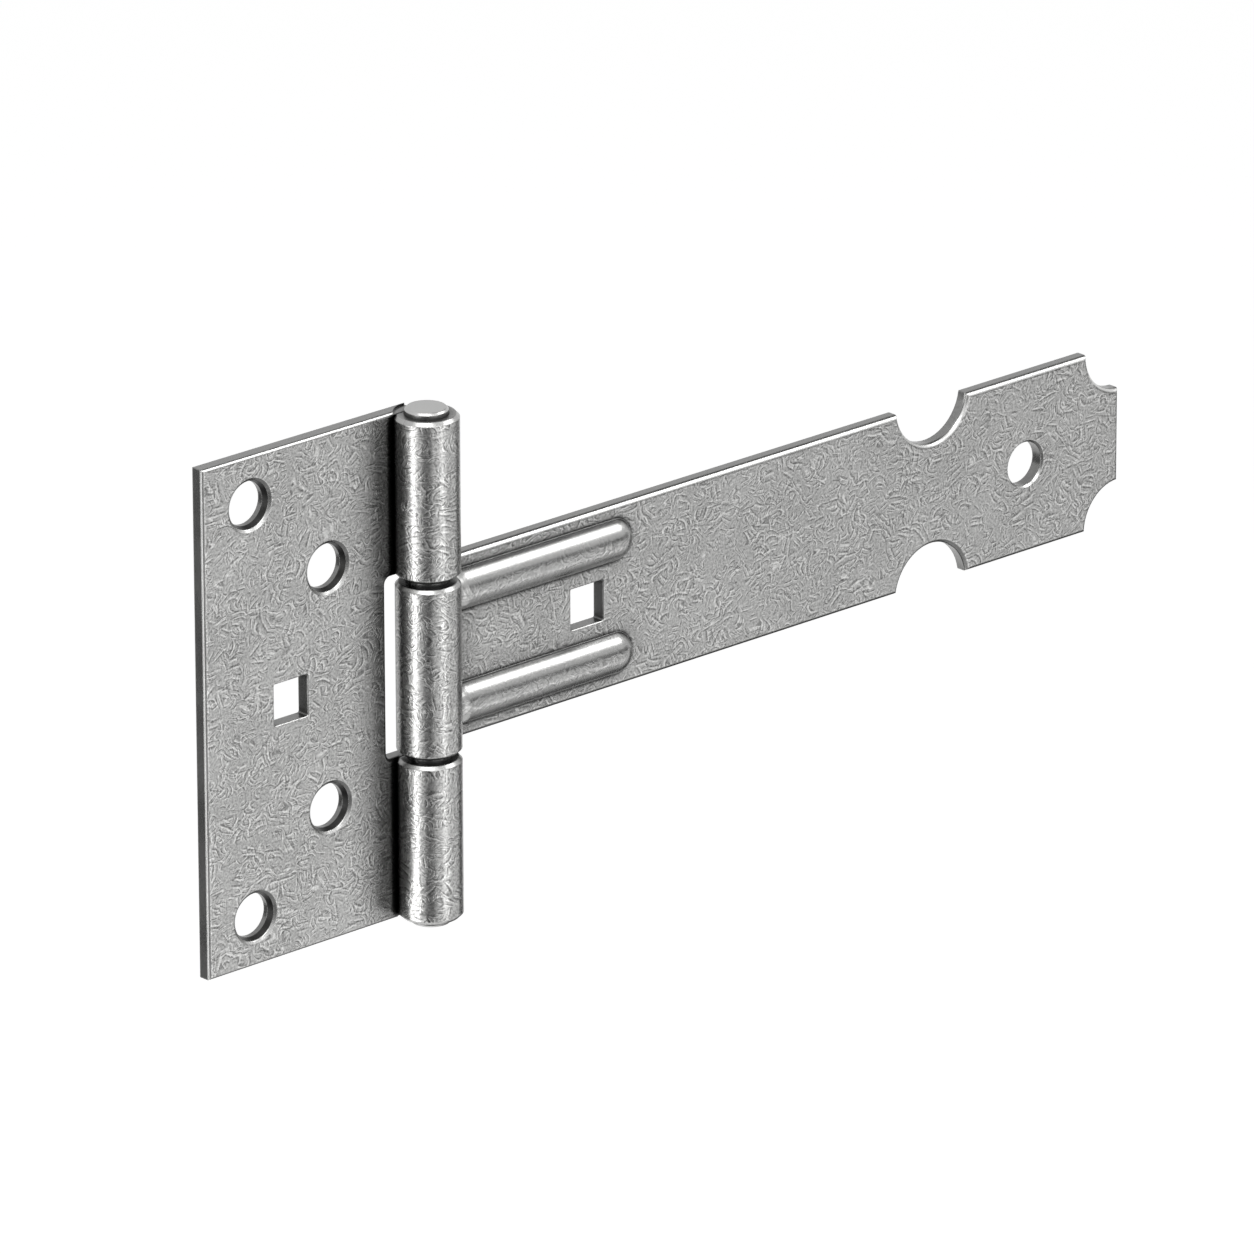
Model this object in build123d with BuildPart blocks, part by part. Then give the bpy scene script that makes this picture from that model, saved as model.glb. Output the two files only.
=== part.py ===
from build123d import *
import os

os.makedirs("parts", exist_ok=True)

# A tee hinge in plated steel: a tall jamb leaf, a long strap leaf and the pin they turn on.
# Frame: +X along the strap, +Z up the pin, +Y into the wall or gate that the hinge is fixed to.
# Both leaves lie flat against the wall plane y = 0 and show their faces towards -Y.
# The origin is on that plane, straight behind the pin and halfway up it. All sizes are millimetres.

# The sheet that both leaves are pressed from
sheet_t = 3.0

# The pin, and the eyes that are curled round it
pin_r = 4.55
running_gap = 0.05
eye_wall = 2.2
eye_rim_chamfer = 0.75
seam_gap = 0.3
pin_proud = 1.3
pin_end_chamfer = 0.45

# The jamb leaf
jamb_height = 110.0
jamb_reach = 56.5
jamb_edge_round = 0.75
jamb_eye_step = 0.4
notch_clearance = 1.3
notch_corner_r = 1.5

# The strap leaf
strap_reach = 200.0
strap_width = 40.0
strap_edge_round = 1.2
neck_step = 1.5
neck_clearance = 0.45
eye_end_gap = 1.3

# Round screw holes: a straight wall at the back, opened out at the front, with the rim broken
screw_hole_r = 4.7
screw_mouth_r = 5.35
screw_mouth_angle = 40.0
mouth_chamfer = 0.5
outer_screw_from_side = 12.5
outer_screw_from_end = 10.5
inner_screw_x = 23.5
inner_screw_spacing = 52.0
tip_hole_r = 4.85
tip_hole_from_end = 27.6

# Square holes that stop the necks of the bolts from turning
bolt_square = 9.0
bolt_square_corner_r = 0.35
bolt_square_chamfer = 0.2
strap_bolt_x = 47.0

# The two pressed beads that stiffen the strap
bead_r = 4.75
bead_rise = 3.3
bead_wall = 2.3
bead_from_side = 7.55
bead_from_barrel = 0.5
bead_end_x = 59.3
bead_root_round = 0.25
bead_lip_chamfer = 0.6

# The shaped end of the strap
scallop_r = 10.2
scallop_offset = 1.5
scallop_from_end = 54.7
corner_bite_r = 9.5

# Sizes that follow from the ones above
bore_r = pin_r + running_gap
barrel_r = bore_r + eye_wall
barrel_y = -barrel_r
jamb_top = jamb_height / 2
jamb_eye_top = jamb_top - jamb_eye_step
strap_eye_top = strap_width / 2 - neck_step
notch_top = strap_eye_top + eye_end_gap
notch_depth = barrel_r + notch_clearance
neck_length = barrel_r + neck_clearance
bead_axis_y = bead_r - bead_rise - sheet_t
bead_level = strap_width / 2 - bead_from_side
bead_start_x = barrel_r + bead_from_barrel
outer_screw_x = jamb_reach - outer_screw_from_side
outer_screw_z = jamb_top - outer_screw_from_end
wall = Plane.XZ
front = wall.offset(sheet_t)


def show_face(leaf):
    """The flat face of a leaf that looks away from the wall."""
    return leaf.faces().filter_by(GeomType.PLANE).sort_by(Axis.Y)[0]


def round_front(leaf, barrel_side, edge_round):
    """Round a leaf's edges on the show side, apart from the edges that its eyes cover."""
    edges = show_face(leaf).edges()
    fillet(edges - edges.group_by(Axis.X)[barrel_side], radius=edge_round)


def break_mouths(leaf):
    """Break the front rims of the round holes in a leaf."""
    rims = show_face(leaf).inner_wires().edges()
    chamfer(rims.filter_by(lambda edge: edge.is_closed), length=mouth_chamfer)


def bolt_hole(leaf, x):
    """Cut a square bolt hole through a leaf, and break its front rim."""
    with BuildSketch(wall) as square:
        with Locations((x, 0)):
            RectangleRounded(bolt_square, bolt_square, bolt_square_corner_r)
    extrude(square.sketch, amount=sheet_t, mode=Mode.SUBTRACT)
    rims = show_face(leaf).inner_wires().edges()
    chamfer(rims.filter_by(lambda edge: edge.length < bolt_square), length=bolt_square_chamfer)


def curled_eye(low, high, leaf_side):
    """One eye: the sheet's end is curled round the pin until it butts on the leaf's front."""
    with BuildPart(mode=Mode.PRIVATE) as eye:
        with BuildSketch(Plane.XY.offset(low)):
            with Locations((0, barrel_y)):
                Circle(barrel_r)
                Circle(bore_r, mode=Mode.SUBTRACT)
        extrude(amount=high - low)
        rims = eye.edges().filter_by(GeomType.CIRCLE)
        chamfer(rims.filter_by(lambda edge: edge.radius > bore_r + eye_wall / 2), length=eye_rim_chamfer)
        with BuildSketch(Plane.XY.offset(low)):
            with Locations((leaf_side * barrel_r / 2, -sheet_t - seam_gap / 2)):
                Rectangle(barrel_r, seam_gap)
        extrude(amount=high - low, mode=Mode.SUBTRACT)
    return eye.part


def half_rod(radius, level):
    """The front half of a round-ended rod that lies along a bead."""
    start = bead_start_x + bead_r
    end = bead_end_x - bead_r
    with BuildPart(mode=Mode.PRIVATE) as rod:
        with BuildSketch(wall.offset(-bead_axis_y)):
            with BuildLine():
                CenterArc((start, level), radius, 90, 90)
                Line((start, level + radius), (end, level + radius))
                CenterArc((end, level), radius, 0, 90)
                Line((end + radius, level), (start - radius, level))
            make_face()
        revolve(axis=Axis((0, bead_axis_y, level), (1, 0, 0)), revolution_arc=180)
    return rod.part


# Jamb leaf: a notched plate with an eye above and an eye below the notch
with BuildPart() as jamb_leaf:
    with BuildSketch(wall) as plate:
        Rectangle(jamb_reach, jamb_height, align=(Align.MAX, Align.CENTER))
        Rectangle(notch_depth, 2 * notch_top, align=(Align.MAX, Align.CENTER), mode=Mode.SUBTRACT)
        fillet(plate.vertices().group_by(Axis.X)[1], radius=notch_corner_r)
    extrude(amount=sheet_t)
    round_front(jamb_leaf, -1, jamb_edge_round)
    with Locations(front):
        with Locations((-outer_screw_x, outer_screw_z), (-outer_screw_x, -outer_screw_z)):
            CounterSinkHole(screw_hole_r, screw_mouth_r, counter_sink_angle=screw_mouth_angle)
        with Locations((-inner_screw_x, inner_screw_spacing / 2), (-inner_screw_x, -inner_screw_spacing / 2)):
            CounterSinkHole(screw_hole_r, screw_mouth_r, counter_sink_angle=screw_mouth_angle)
    break_mouths(jamb_leaf)
    bolt_hole(jamb_leaf, -(outer_screw_x + inner_screw_x) / 2)
    with Locations((0, barrel_y, 0)):
        Cylinder(bore_r, jamb_height, mode=Mode.SUBTRACT)
    # The eyes are faced off a little short of the plate's ends
    with Locations((0, barrel_y, jamb_top), (0, barrel_y, -jamb_top)):
        Cylinder(barrel_r, 2 * jamb_eye_step, mode=Mode.SUBTRACT)
    add(curled_eye(notch_top, jamb_eye_top, -1))
    add(curled_eye(-jamb_eye_top, -notch_top, -1))
jamb_leaf.part.label = "jamb_leaf"
export_step(jamb_leaf.part, "parts/jamb_leaf.step")

# Strap leaf: a long strap with one eye, two pressed beads, scalloped sides and a bitten tip
with BuildPart() as strap_leaf:
    with BuildSketch(wall):
        Rectangle(strap_reach, 2 * strap_eye_top, align=(Align.MIN, Align.CENTER))
        with Locations((neck_length, 0)):
            Rectangle(strap_reach - neck_length, strap_width, align=(Align.MIN, Align.CENTER))
        scallop_x = strap_reach - scallop_from_end
        scallop_z = strap_width / 2 + scallop_offset
        with Locations((scallop_x, scallop_z), (scallop_x, -scallop_z)):
            Circle(scallop_r, mode=Mode.SUBTRACT)
        with Locations((strap_reach, strap_width / 2), (strap_reach, -strap_width / 2)):
            Circle(corner_bite_r, mode=Mode.SUBTRACT)
    extrude(amount=sheet_t)
    round_front(strap_leaf, 0, strap_edge_round)
    for level in (bead_level, -bead_level):
        add(half_rod(bead_r, level))
    fillet(show_face(strap_leaf).inner_wires().edges(), radius=bead_root_round)
    hollow_r = bead_r - bead_wall
    for level in (bead_level, -bead_level):
        add(half_rod(hollow_r, level), mode=Mode.SUBTRACT)
        with BuildSketch(wall):
            with Locations(((bead_start_x + bead_end_x) / 2, level)):
                SlotOverall(bead_end_x - bead_start_x - 2 * bead_wall, 2 * hollow_r)
        extrude(amount=-bead_axis_y, mode=Mode.SUBTRACT)
    lips = strap_leaf.faces().filter_by(GeomType.PLANE).sort_by(Axis.Y)[-1].inner_wires().edges()
    chamfer(lips, length=bead_lip_chamfer)
    with Locations(front):
        with Locations((strap_reach - tip_hole_from_end, 0)):
            Hole(tip_hole_r)
    break_mouths(strap_leaf)
    bolt_hole(strap_leaf, strap_bolt_x)
    with Locations((0, barrel_y, 0)):
        Cylinder(bore_r, 2 * strap_eye_top, mode=Mode.SUBTRACT)
    add(curled_eye(-strap_eye_top, strap_eye_top, 1))
strap_leaf.part.label = "strap_leaf"
export_step(strap_leaf.part, "parts/strap_leaf.step")

# Pin: one round bar through all three eyes, standing a little proud at both ends
with BuildPart() as hinge_pin:
    with Locations((0, barrel_y, 0)):
        Cylinder(pin_r, 2 * (jamb_eye_top + pin_proud))
    chamfer(hinge_pin.edges().filter_by(GeomType.CIRCLE), length=pin_end_chamfer)
hinge_pin.part.label = "hinge_pin"
export_step(hinge_pin.part, "parts/hinge_pin.step")
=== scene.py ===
import math
import bpy
from mathutils import Matrix, Vector


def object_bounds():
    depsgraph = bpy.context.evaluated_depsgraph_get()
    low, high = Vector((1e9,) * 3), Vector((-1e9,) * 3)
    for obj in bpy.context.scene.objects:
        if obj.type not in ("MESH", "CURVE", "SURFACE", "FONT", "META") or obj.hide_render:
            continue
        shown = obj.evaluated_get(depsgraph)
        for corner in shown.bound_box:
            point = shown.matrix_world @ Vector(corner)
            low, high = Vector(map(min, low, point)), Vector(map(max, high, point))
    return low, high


# A tee hinge in zinc plated steel, seen from its left and a little above, on a white studio floor.
# Lengths are metres in the part's own frame: +X along the strap, +Z up the pin, -Y out of the wall.
# Azimuths and elevations are degrees.
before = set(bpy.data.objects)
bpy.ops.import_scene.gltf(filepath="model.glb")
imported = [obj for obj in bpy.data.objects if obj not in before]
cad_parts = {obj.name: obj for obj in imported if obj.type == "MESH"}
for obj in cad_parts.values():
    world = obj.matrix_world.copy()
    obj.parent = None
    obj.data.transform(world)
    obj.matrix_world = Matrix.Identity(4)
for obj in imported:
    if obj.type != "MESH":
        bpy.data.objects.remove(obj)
cad_low, cad_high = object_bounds()

# The camera, as the photograph was taken
camera_azimuth = -42.25
camera_elevation = 20.64
camera_roll = -0.19
camera_distance = 2.706
camera_target = (0.0318, -0.0319, 0.0071)
camera_lens = 381.4
camera_sensor = 36.0
camera_clip = (0.1, 60.0)

# The studio: a white floor well below the part, and even light from all sides
white = (1.0, 1.0, 1.0, 1.0)
floor_drop = 0.70
floor_size = 24.0
floor_colour = (0.80, 0.80, 0.80, 1.0)
floor_lift = 0.50
world_light = 0.6

# Soft steps, from low to high, that pick out the part's faces by their place
sheet_front = (-0.0031, -0.0029)
mouth_floor = (-0.0027, -0.0024)
bead_front = (-0.0034, -0.0031)
raised_front = (-0.0042, -0.0032)
bead_start = (0.0074, 0.0080)
crevice_left = (-0.0120, -0.0100)
crevice_right = (-0.0050, -0.0045)

# Soft steps that pick them out by their direction, as a share of the normal that points out or up
end_face = (0.90, 0.97)
side_face = (0.38, 0.60)
tilted_face = (0.80, 0.97)
bead_slope = (0.15, 0.40)
round_start = (0.15, 0.35)
round_end = (0.88, 0.98)
upper_side = (-0.4, 0.4)
mouth_slope = 0.342
mouth_spread = (0.03, 0.08)

# The crystal marks: how each kind is drawn. Crests and shifts are of a sine wave, fades of a cell's size
line_crest = 0.95
ring_start = 0.25
ring_shift = 1.5
ring_bend = 0.4
ring_levels = 30.0
ring_break_scale = 2.4
ring_breaks = (0.51, 0.59)
stroke_start = 0.35
stroke_shift = 1.6
stroke_fade = (0.45, 0.75)
stroke_strength = (0.0, 0.7)
least_slant = 0.01
second_layer = (0.31, 0.17, 0.23)

# The crystal marks: how strong they are, how far they reach up and down, and how deep they are
rings_share = 0.7
lowest_mark = -0.85
highest_mark = 1.25
mark_depth = 0.000010
quiet_share = 0.85
quiet_bead = 0.5

# The grain and the mottling: each noise's scale, detail and roughness, and its effect
grain_noise = (2000.0, 1.0, 0.6)
cloud_noise = (70.0, 3.0, 0.55)
noise_middle = (0.3, 0.7)
cloud_tone = 0.045
cloud_roughness = 0.02

# Painted shade in crevices, root lines and hole mouths, a painted highlight and painted shade on the
# rounded edges, and the edges' softness
crevice_reach = 0.012
crevice_power = 2.3
crevice_samples = 8
clear_cut = 0.7
clear_raised = 0.80
root_reach = 0.0015
root_samples = 16
root_shade = (0.78, 0.94)
rootless_cut = 0.7
rootless_raised = 0.4
rootless_crevice = 0.35
mouth_painted_shade = 0.15
mouth_roughness = 0.15
edge_painted_light = 0.65
edge_softness = 0.0004
edge_samples = 6


def towards(azimuth, elevation):
    """The direction from the part to a place in the studio. Azimuth 0 is in front, 90 on the right."""
    a = math.radians(azimuth)
    e = math.radians(elevation)
    return Vector((math.sin(a) * math.cos(e), -math.cos(a) * math.cos(e), math.sin(e)))


def look_from(obj, place, target, roll=0.0):
    """Put an object at a place and turn its -Z axis to a target."""
    obj.location = place
    turn = (Vector(target) - Vector(place)).to_track_quat("-Z", "Y").to_matrix()
    obj.rotation_euler = (turn @ Matrix.Rotation(math.radians(roll), 3, "Z")).to_euler()


def make_camera():
    """The camera, at the photograph's viewing angle."""
    data = bpy.data.cameras.new("camera")
    data.lens = camera_lens
    data.sensor_width = camera_sensor
    data.clip_start, data.clip_end = camera_clip
    camera = bpy.data.objects.new("camera", data)
    bpy.context.scene.collection.objects.link(camera)
    place = Vector(camera_target) + towards(camera_azimuth, camera_elevation) * camera_distance
    look_from(camera, place, camera_target, camera_roll)
    bpy.context.scene.camera = camera


class Nodes:
    """A shorthand for the nodes of one material or world. A value is a number or another node's output."""

    def __init__(self, owner):
        owner.use_nodes = True
        self.tree = owner.node_tree
        self.tree.nodes.clear()

    def add(self, kind, inputs=None, **settings):
        node = self.tree.nodes.new(kind)
        for key, value in settings.items():
            setattr(node, key, value)
        for key, value in (inputs or {}).items():
            self.set(node.inputs[key], value)
        return node

    def set(self, socket, value):
        if isinstance(value, bpy.types.NodeSocket):
            self.tree.links.new(value, socket)
        else:
            socket.default_value = value

    def math(self, operation, *values):
        node = self.add("ShaderNodeMath", operation=operation)
        for socket, value in zip(node.inputs, values):
            self.set(socket, value)
        return node.outputs[0]

    def times(self, a, b):
        return self.math("MULTIPLY", a, b)

    def scaled(self, value, factor, extra):
        return self.math("MULTIPLY_ADD", value, factor, extra)

    def larger(self, a, b):
        return self.math("MAXIMUM", a, b)

    def smaller(self, a, b):
        return self.math("MINIMUM", a, b)

    def step(self, value, low, high, to_low=0.0, to_high=1.0):
        """A soft step from to_low to to_high as the value goes from low to high."""
        inputs = {"Value": value, "From Min": low, "From Max": high, "To Min": to_low, "To Max": to_high}
        return self.add("ShaderNodeMapRange", inputs, interpolation_type="SMOOTHSTEP").outputs[0]

    def fall(self, value, low, high):
        """A soft step down from 1 to 0 as the value goes from low to high."""
        return self.step(value, low, high, 1.0, 0.0)

    def blend(self, share, tone):
        """The tone where the share is 1, and 1, which changes nothing, where the share is 0."""
        return self.step(share, 0.0, 1.0, 1.0, tone)

    def noise(self, place, scale, detail=0.0, roughness=0.5, distortion=0.0):
        inputs = {"Vector": place, "Scale": scale, "Detail": detail, "Roughness": roughness,
                  "Distortion": distortion}
        return self.add("ShaderNodeTexNoise", inputs).outputs["Fac"]

    def vector(self, operation, inputs):
        return self.add("ShaderNodeVectorMath", inputs, operation=operation).outputs[0]

    def turned(self, vector, turn):
        inputs = {"Vector": vector, "Rotation": turn}
        return self.add("ShaderNodeVectorRotate", inputs, rotation_type="EULER_XYZ").outputs[0]

    def parts(self, vector):
        return self.add("ShaderNodeSeparateXYZ", {0: vector}).outputs

    def openness(self, reach, samples):
        """1 where nothing stands within reach of the surface, and less beside and between walls."""
        return self.add("ShaderNodeAmbientOcclusion", {"Distance": reach}, samples=samples).outputs["AO"]

    def seen(self):
        """1 for what the camera, a mirror image or a clear piece sees, and 0 for the light on the part."""
        ray = self.add("ShaderNodeLightPath").outputs
        mirrored = self.larger(ray["Is Glossy Ray"], ray["Is Transmission Ray"])
        return self.larger(ray["Is Camera Ray"], mirrored)


def light_beside_dark(n, wave, phase, shift, start):
    """At each crest of a wave, a light line with a dark line beside it."""
    light = n.step(n.math(wave, phase), start, line_crest)
    dark = n.step(n.math(wave, n.math("ADD", phase, shift)), start, line_crest)
    return n.math("SUBTRACT", light, dark)


def rings(n, place, size, spacing):
    """Curved lines that follow the levels of a noise, broken into short lengths."""
    field = n.noise(place, 1.0 / size, distortion=ring_bend)
    phase = n.times(field, ring_levels * size / spacing)
    lines = light_beside_dark(n, "SINE", phase, ring_shift, ring_start)
    return n.times(lines, n.step(n.noise(place, ring_break_scale / size), *ring_breaks))


def strokes(n, place, normal, pitch, spacing, bend):
    """Short bent strokes, turned at random in cells of one pitch, and as wide on a slanted face."""
    cell = n.add("ShaderNodeTexVoronoi", {"Vector": place, "Scale": 1.0 / pitch}).outputs
    turn = n.vector("SCALE", {0: cell["Color"], "Scale": 2 * math.pi})
    local = n.vector("SUBTRACT", {0: place, 1: cell["Position"]})
    x, y, _ = n.parts(n.turned(local, turn))
    lean = n.parts(n.turned(normal, turn))[0]
    slant = n.math("SQRT", n.larger(n.scaled(lean, n.times(lean, -1.0), 1.0), least_slant))
    phase = n.times(n.math("DIVIDE", n.scaled(n.times(y, y), bend, x), slant), 2 * math.pi / spacing)
    lines = light_beside_dark(n, "COSINE", phase, stroke_shift, stroke_start)
    middle = n.fall(cell["Distance"], *stroke_fade)
    chance = n.add("ShaderNodeSeparateColor", {0: cell["Color"]}).outputs[0]
    return n.times(lines, n.times(middle, n.step(chance, *stroke_strength)))


def crystal_marks(n, place, normal):
    """The height of the plating's crystal marks: rings, bold strokes and a layer of faint strokes."""
    curved = rings(n, place, size=0.0050, spacing=0.0015)
    bold = strokes(n, place, normal, pitch=0.0030, spacing=0.0015, bend=260.0)
    moved = n.vector("ADD", {0: place, 1: second_layer})
    faint = strokes(n, moved, normal, pitch=0.0020, spacing=0.0010, bend=400.0)
    height = n.math("ADD", n.scaled(curved, rings_share, bold), faint)
    return n.larger(n.smaller(height, highest_mark), lowest_mark)


def face_masks(n, place, normal):
    """Where each kind of face is, from 0 to 1, by its place and direction on the part."""
    x, y, _ = n.parts(place)
    _, out, up = n.parts(normal)
    facing_out = n.math("ABSOLUTE", out)
    upright = n.math("ABSOLUTE", up)
    in_sheet = n.step(y, *sheet_front)
    faces = {"raised": n.fall(y, *raised_front)}
    # The sheets' cut sides, the walls of the holes and the ends of the eyes
    sideways = n.fall(facing_out, *side_face)
    faces["cut"] = n.times(sideways, n.larger(in_sheet, n.step(upright, *end_face)))
    # The cones at the mouths of the round holes
    cone = n.fall(n.math("ABSOLUTE", n.math("SUBTRACT", facing_out, mouth_slope)), *mouth_spread)
    faces["mouth"] = n.times(cone, n.step(y, *mouth_floor))
    # The rounded edges: a painted highlight where they face up, painted shade where they face down
    rounded = n.times(n.step(facing_out, *round_start), n.fall(facing_out, *round_end))
    painted_edge_light = n.step(up, *upper_side, -edge_painted_light, edge_painted_light)
    faces["edge tone"] = n.scaled(n.times(in_sheet, rounded), painted_edge_light, 1.0)
    # The strip of plate beside the barrel
    faces["crevice"] = n.times(n.fall(x, *crevice_right), n.step(x, *crevice_left))
    # The faces where the marks are weak
    edge = n.times(in_sheet, n.fall(facing_out, *tilted_face))
    bead = n.times(n.step(x, *bead_start), n.fall(y, *bead_front))
    slope = n.step(upright, *bead_slope)
    faces["quiet"] = n.larger(n.larger(faces["cut"], edge), n.larger(slope, n.times(bead, quiet_bead)))
    return faces


def shade(n, faces, root_painted_shade):
    """Painted shade: how much darker the metal's colour gets in crevices, and in the thin lines where two
    faces meet.
    """
    clear = n.larger(n.times(faces["cut"], clear_cut), n.times(faces["raised"], clear_raised))
    power = n.scaled(clear, -crevice_power, crevice_power)
    # Painted shade, darker where walls stand close around the surface
    crevice_shade = n.math("POWER", n.openness(crevice_reach, crevice_samples), power)
    # Painted shade along the thin lines where two faces meet
    root = n.step(n.openness(root_reach, root_samples), *root_shade, root_painted_shade, 1.0)
    root = n.larger(root, n.times(faces["cut"], rootless_cut))
    root = n.larger(root, n.times(faces["raised"], rootless_raised))
    root = n.larger(root, n.times(faces["crevice"], rootless_crevice))
    return n.times(crevice_shade, root)


def plated_steel(name, colour, roughness, marks, grain, cut_dullness_and_shade, root_painted_shade):
    """Zinc plated steel: crystal marks, a fine grain, a faint mottling, dull cuts with painted shade,
    painted shade in crevices, and painted light and shade on rounded edges.
    """
    material = bpy.data.materials.new(name)
    n = Nodes(material)
    coordinates = n.add("ShaderNodeTexCoord").outputs
    place, normal = coordinates["Object"], coordinates["Normal"]
    faces = face_masks(n, place, normal)
    plain = n.scaled(faces["quiet"], -quiet_share, 1.0)
    relief = n.times(crystal_marks(n, place, normal), plain)
    fine = n.step(n.noise(place, *grain_noise), *noise_middle, -1.0, 1.0)
    cloud = n.noise(place, *cloud_noise)

    tone = n.scaled(relief, marks, 1.0)
    tone = n.scaled(n.times(fine, plain), grain, tone)
    tone = n.math("ADD", tone, n.step(cloud, *noise_middle, -cloud_tone, cloud_tone))
    # Painted shade in crevices and root lines
    tone = n.times(tone, shade(n, faces, root_painted_shade))
    # Cut faces: duller plating, with painted shade on the sheet's top faces, sides and hole walls
    tone = n.times(tone, n.blend(faces["cut"], cut_dullness_and_shade))
    # Painted shade in the mouths of the round holes
    tone = n.times(tone, n.blend(faces["mouth"], mouth_painted_shade))
    # A painted highlight on rounded edges that face up, painted shade on those that face down
    tone = n.times(tone, faces["edge tone"])

    rough = n.math("ADD", n.step(cloud, *noise_middle, -cloud_roughness, cloud_roughness), roughness)
    soft = n.add("ShaderNodeBevel", {"Radius": edge_softness}, samples=edge_samples).outputs[0]
    bump = {"Strength": 1.0, "Distance": mark_depth, "Height": relief, "Normal": soft}
    steel = n.add("ShaderNodeBsdfPrincipled", {
        "Base Color": n.vector("SCALE", {0: colour, "Scale": tone}),
        "Metallic": 1.0,
        "Roughness": n.scaled(faces["mouth"], mouth_roughness, rough),
        "Normal": n.add("ShaderNodeBump", bump).outputs[0],
    })
    n.add("ShaderNodeOutputMaterial", {"Surface": steel.outputs[0]})
    return material


def dress(node, material):
    """Give a CAD node its finish."""
    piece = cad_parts[node]
    piece.data.materials.clear()
    piece.data.materials.append(material)


def make_world():
    """White where it is seen, and soft even light on the part."""
    world = bpy.data.worlds.new("studio")
    bpy.context.scene.world = world
    n = Nodes(world)
    strength = n.step(n.seen(), 0.0, 1.0, world_light, 1.0)
    back = n.add("ShaderNodeBackground", {"Color": white, "Strength": strength})
    n.add("ShaderNodeOutputWorld", {"Surface": back.outputs[0]})


def card(name, place, width, height, target):
    """A flat sheet whose face is turned to a target, as part of the studio."""
    mesh = bpy.data.meshes.new(name)
    w, h = width / 2, height / 2
    mesh.from_pydata([(-w, -h, 0), (w, -h, 0), (w, h, 0), (-w, h, 0)], [], [(0, 1, 2, 3)])
    obj = bpy.data.objects.new(name, mesh)
    bpy.context.scene.collection.objects.link(obj)
    look_from(obj, place, target)
    return obj


def make_floor():
    """A pale matt floor that looks white and keeps the part's shadow."""
    level = cad_low.z - floor_drop
    floor = card("floor", (0, 0, level), floor_size, floor_size, (0, 0, level - 1))
    material = bpy.data.materials.new("floor")
    n = Nodes(material)
    seen = n.seen()
    matt = n.add("ShaderNodeBsdfDiffuse", {"Color": floor_colour}).outputs[0]
    glow = n.add("ShaderNodeEmission", {"Strength": n.times(seen, floor_lift)}).outputs[0]
    both = n.add("ShaderNodeAddShader", {0: matt, 1: glow}).outputs[0]
    n.add("ShaderNodeOutputMaterial", {"Surface": both})
    floor.data.materials.append(material)


def flag(name, azimuth, elevation, distance, width, height, grey):
    """A grey card beside the part, which only shows in the metal as a darker reflection."""
    obj = card(name, towards(azimuth, elevation) * distance, width, height, (0, 0, 0))
    material = bpy.data.materials.new(name)
    n = Nodes(material)
    glow = n.add("ShaderNodeEmission", {"Color": (grey, grey, grey, 1.0)}).outputs[0]
    n.add("ShaderNodeOutputMaterial", {"Surface": glow})
    obj.data.materials.append(material)
    obj.visible_camera = False
    obj.visible_diffuse = False
    obj.visible_shadow = False
    obj.visible_transmission = False


def lamp(name, azimuth, elevation, distance, width, height, brightness):
    """A soft box that faces the part, as bright all over as that many white walls."""
    data = bpy.data.lights.new(name, "AREA")
    data.shape = "RECTANGLE"
    data.size = width
    data.size_y = height
    data.energy = brightness * math.pi * width * height
    obj = bpy.data.objects.new(name, data)
    bpy.context.scene.collection.objects.link(obj)
    obj.visible_camera = False
    look_from(obj, towards(azimuth, elevation) * distance, (0, 0, 0))


bpy.context.scene.view_settings.view_transform = "Standard"
make_camera()
make_world()
make_floor()

# Name, azimuth, elevation, distance, width, height, and how bright it is
lamp("key", 61, 44, 0.9, 0.42, 0.29, 4.6)
lamp("left strip", -98, -15, 0.9, 0.52, 1.0, 3.6)
lamp("front strip", 13, -18, 0.9, 0.30, 0.8, 1.2)
lamp("top", -55, 68, 0.9, 0.55, 0.36, 4.5)
lamp("rim light", -12, 48, 0.9, 0.75, 0.36, 2.6)
lamp("low right", 48, -33, 1.0, 0.22, 0.14, 0.9)
flag("camera side", -42, -15, 1.0, 0.60, 1.2, 0.24)
flag("right horizon", 50, 4, 1.0, 0.9, 0.26, 0.25)
flag("right low", 92, -22, 1.0, 0.5, 0.5, 0.12)
flag("under near", 66, -47, 0.95, 0.35, 0.40, 0.65)
flag("under right", 110, -50, 0.9, 0.75, 0.55, 0.06)
flag("high right", 111, 47, 0.95, 0.46, 0.50, 0.05)
flag("back left", -135, -19, 1.0, 0.50, 0.8, 0.12)
flag("back right", 146, 24, 1.0, 1.1, 0.6, 0.90)

# The sheet carries painted shade on its cut faces and root lines; the pin only on its root lines
sheet_steel = plated_steel("zinc_sheet", (0.37, 0.37, 0.365), roughness=0.27, marks=0.52, grain=0.24,
                           cut_dullness_and_shade=0.62, root_painted_shade=0.03)
pin_steel = plated_steel("zinc_pin", (0.45, 0.45, 0.445), roughness=0.28, marks=0.02, grain=0.05,
                         cut_dullness_and_shade=1.0, root_painted_shade=0.12)
dress("jamb_leaf", sheet_steel)
dress("strap_leaf", sheet_steel)
dress("hinge_pin", pin_steel)
